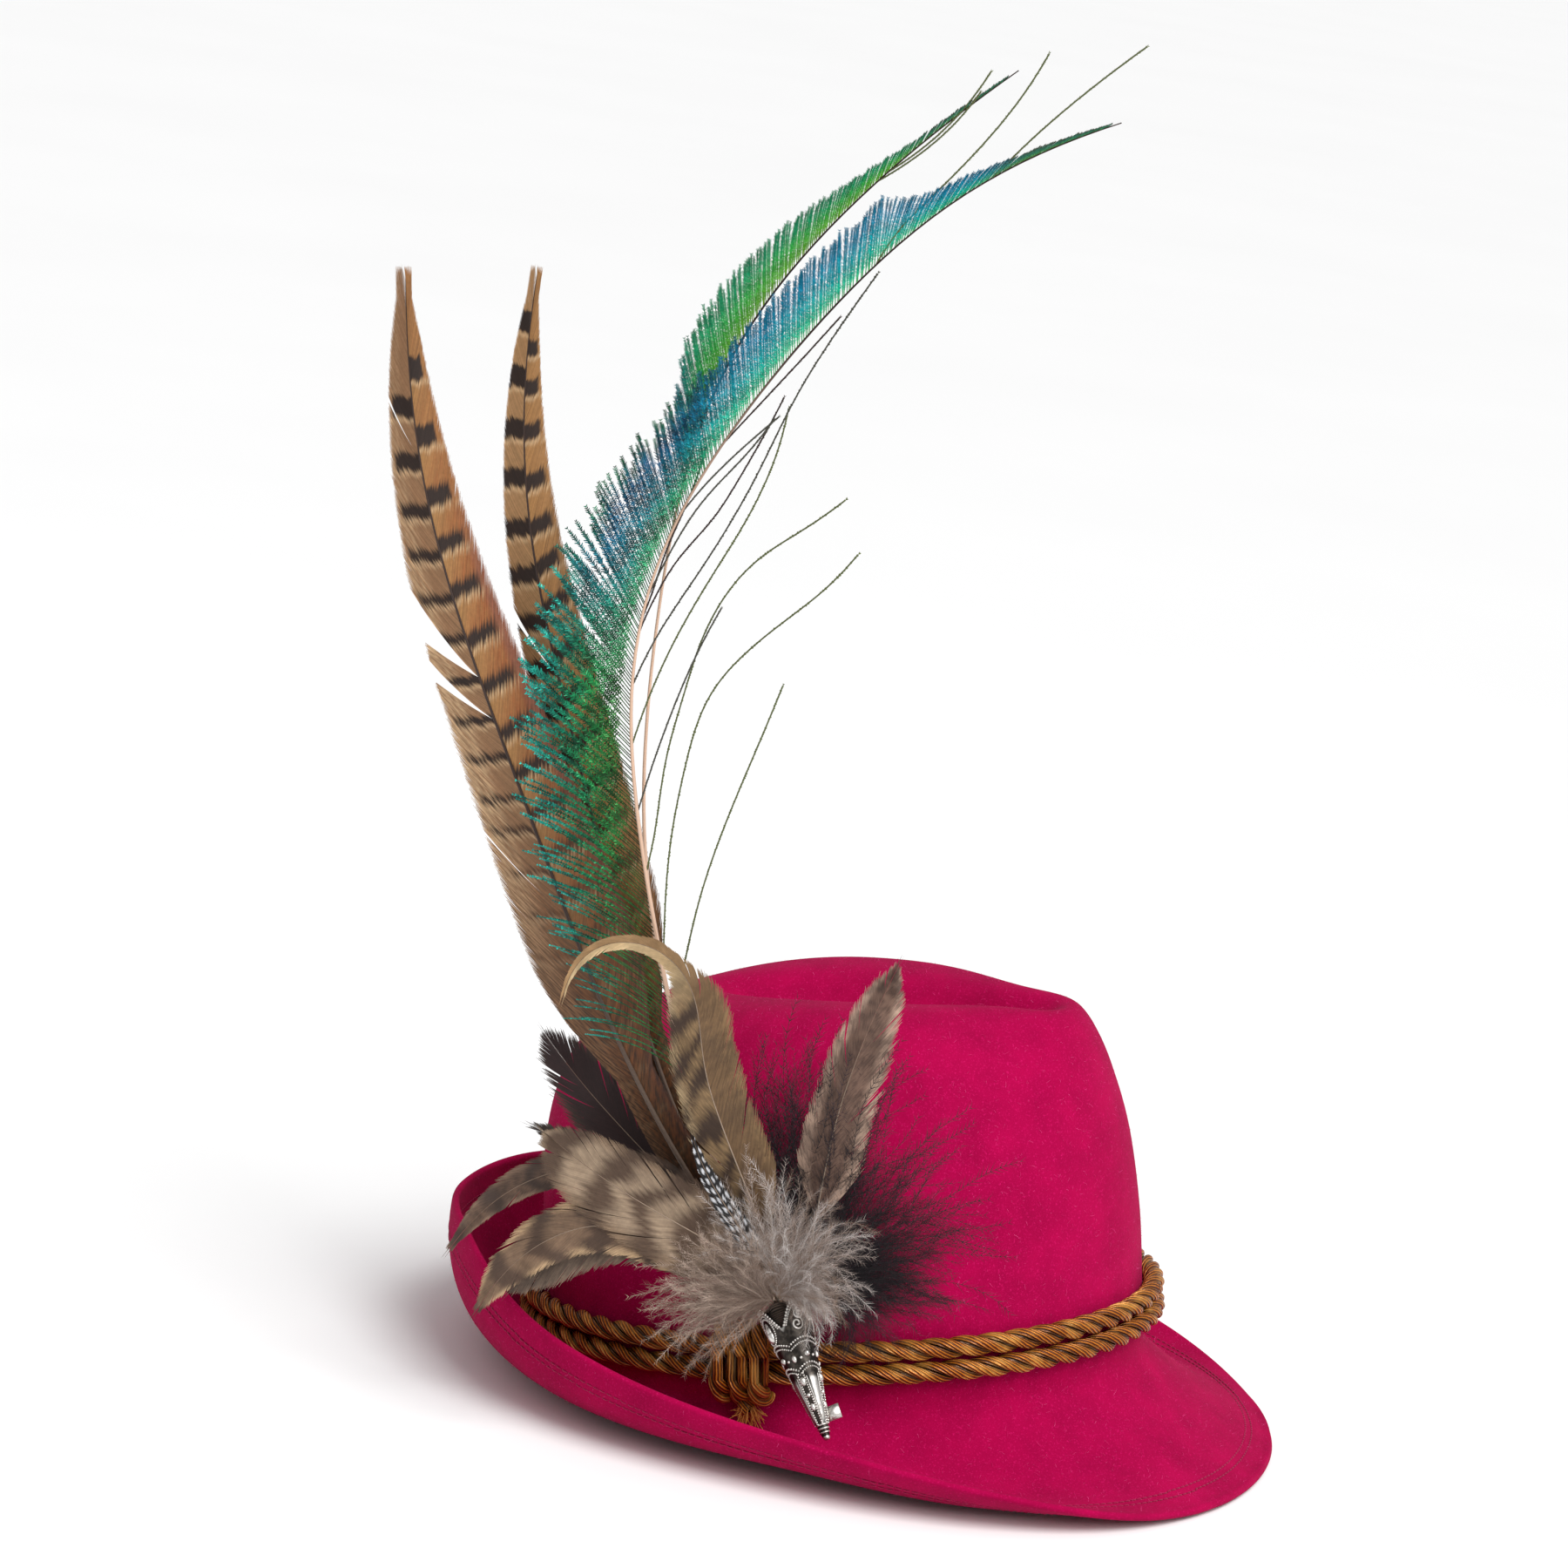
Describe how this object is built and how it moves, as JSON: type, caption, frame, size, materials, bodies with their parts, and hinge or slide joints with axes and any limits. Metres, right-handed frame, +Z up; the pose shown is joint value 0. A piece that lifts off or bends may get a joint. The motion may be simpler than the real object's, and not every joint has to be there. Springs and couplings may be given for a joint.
{
  "type": "tyrolean hat",
  "caption": "Felt hat with a dented crown, a brim turned down in front and up behind, twisted rope bands with a knot, and a plume of feathers in a silver cone pin.",
  "frame": {"origin": "on the surface that the brim rests on, below the middle of the hat's box", "axes": "front of the hat to -Y, wearer's left to +X, +Z up with the hat resting on its brim"},
  "size_m": [0.2496, 0.3068, 0.4278],
  "materials": {
    "felt": "brushed wool felt, raspberry",
    "rope": "satin twisted cord, golden brown",
    "silver": "cast metal, antique silver with dark recesses",
    "thread": "wound dark thread",
    "pheasant": "feather, buff with dark bars",
    "peacock": "feather herl, iridescent",
    "hackle": "feather, brown and cream",
    "dark_feather": "feather, dark brown",
    "down": "feather down, grey brown"
  },
  "bodies": {
    "root": {"felt_body": "felt", "rope_lower": "rope", "rope_upper": "rope", "rope_knot": "rope", "pin_holder": "silver", "quill_binding": "thread", "pheasant_tail_left": "pheasant", "pheasant_tail_right": "pheasant", "hackle_dark_upper": "dark_feather", "hackle_dark_lower": "dark_feather", "hackle_twisted": "hackle", "hackle_barred": "hackle", "hackle_curled": "hackle", "hackle_droop_upper": "hackle", "hackle_droop_lower": "hackle", "guinea_feather": "dark_feather", "peacock_sword_long": "peacock", "peacock_sword_short": "peacock", "down_brown": "down", "down_grey": "down", "marabou_black": "dark_feather"}
  },
  "joints": []
}
